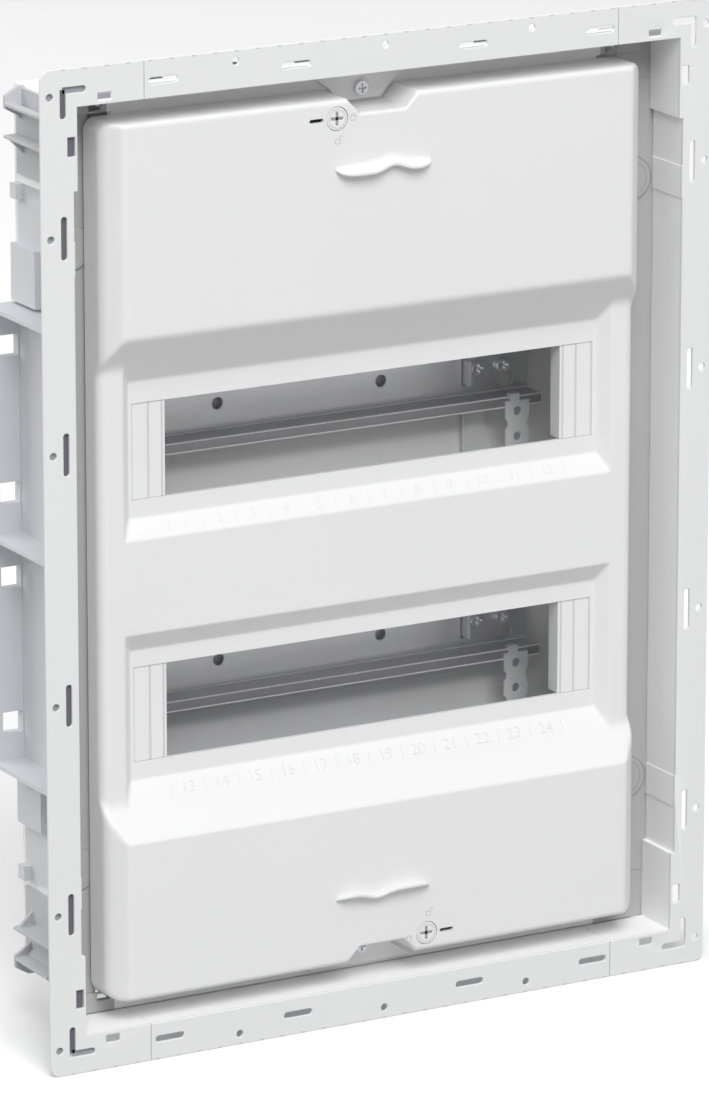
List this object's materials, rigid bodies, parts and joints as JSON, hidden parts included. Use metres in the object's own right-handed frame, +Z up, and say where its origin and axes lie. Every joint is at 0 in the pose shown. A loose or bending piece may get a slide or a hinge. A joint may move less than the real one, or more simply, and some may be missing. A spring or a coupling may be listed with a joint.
{
  "type": "flush distribution box",
  "caption": "Flush wall box for two rows of modular breakers, with screw-on flange, lift-off front cover with quarter-turn locks, mounting rails and terminal bars.",
  "frame": {"origin": "centre of the flange's front face", "axes": "+X to the right as seen from the room, +Y into the wall, +Z up"},
  "size_m": [0.353, 0.0919, 0.473],
  "materials": {
    "box_plastic": "fine moulded texture, light grey",
    "flange_plastic": "smooth satin white",
    "side_plastic": "matt blue-grey",
    "grommet_rubber": "matt dark grey",
    "zinc_plate": "satin zinc plating",
    "screw_steel": "bright zinc",
    "terminal_brass": "satin brass",
    "green_plastic": "satin green",
    "blue_plastic": "satin blue",
    "cover_plastic": "semi-gloss white",
    "lock_plastic": "semi-gloss white"
  },
  "bodies": {
    "box": {"wall_box": "box_plastic", "left_flange": "flange_plastic", "right_flange": "flange_plastic", "top_entry_wall": "flange_plastic", "bottom_entry_wall": "flange_plastic", "top_grommets": "grommet_rubber", "bottom_grommets": "grommet_rubber", "left_side_channel": "side_plastic", "right_side_channel": "side_plastic", "upper_left_anchor": "side_plastic", "upper_right_anchor": "side_plastic", "lower_left_anchor": "side_plastic", "lower_right_anchor": "side_plastic", "upper_crossbar": "box_plastic", "lower_crossbar": "box_plastic", "terminal_bracket_screws": "screw_steel", "upper_din_rail": "zinc_plate", "lower_din_rail": "zinc_plate", "upper_rail_screws": "screw_steel", "lower_rail_screws": "screw_steel", "left_link_bar": "zinc_plate", "right_link_bar": "zinc_plate", "upper_left_rail_strap": "zinc_plate", "upper_right_rail_strap": "zinc_plate", "lower_left_rail_strap": "zinc_plate", "lower_right_rail_strap": "zinc_plate", "earth_bracket": "green_plastic", "earth_bar": "terminal_brass", "earth_clamp_screws": "screw_steel", "neutral_bracket": "blue_plastic", "neutral_bar": "terminal_brass", "neutral_clamp_screws": "screw_steel"},
    "cover": {"cover": "cover_plastic", "upper_left_blank": "cover_plastic", "upper_right_blank": "cover_plastic", "lower_left_blank": "cover_plastic", "lower_right_blank": "cover_plastic"},
    "upper_lock": {"upper_lock": "lock_plastic"},
    "lower_lock": {"lower_lock": "lock_plastic"}
  },
  "joints": [
    {"name": "cover_slide", "type": "slide", "parent": "box", "child": "cover", "axis": [0, -1, 0], "range_m": [0, 0.12]},
    {"name": "upper_lock_turn", "type": "hinge", "parent": "cover", "child": "upper_lock", "pos_m": [-0.024, 0.0023, 0.1987], "axis": [0, 1, 0], "range_deg": [0, 90]},
    {"name": "lower_lock_turn", "type": "hinge", "parent": "cover", "child": "lower_lock", "pos_m": [0.024, 0.0023, -0.1987], "axis": [0, 1, 0], "range_deg": [0, 90]}
  ]
}
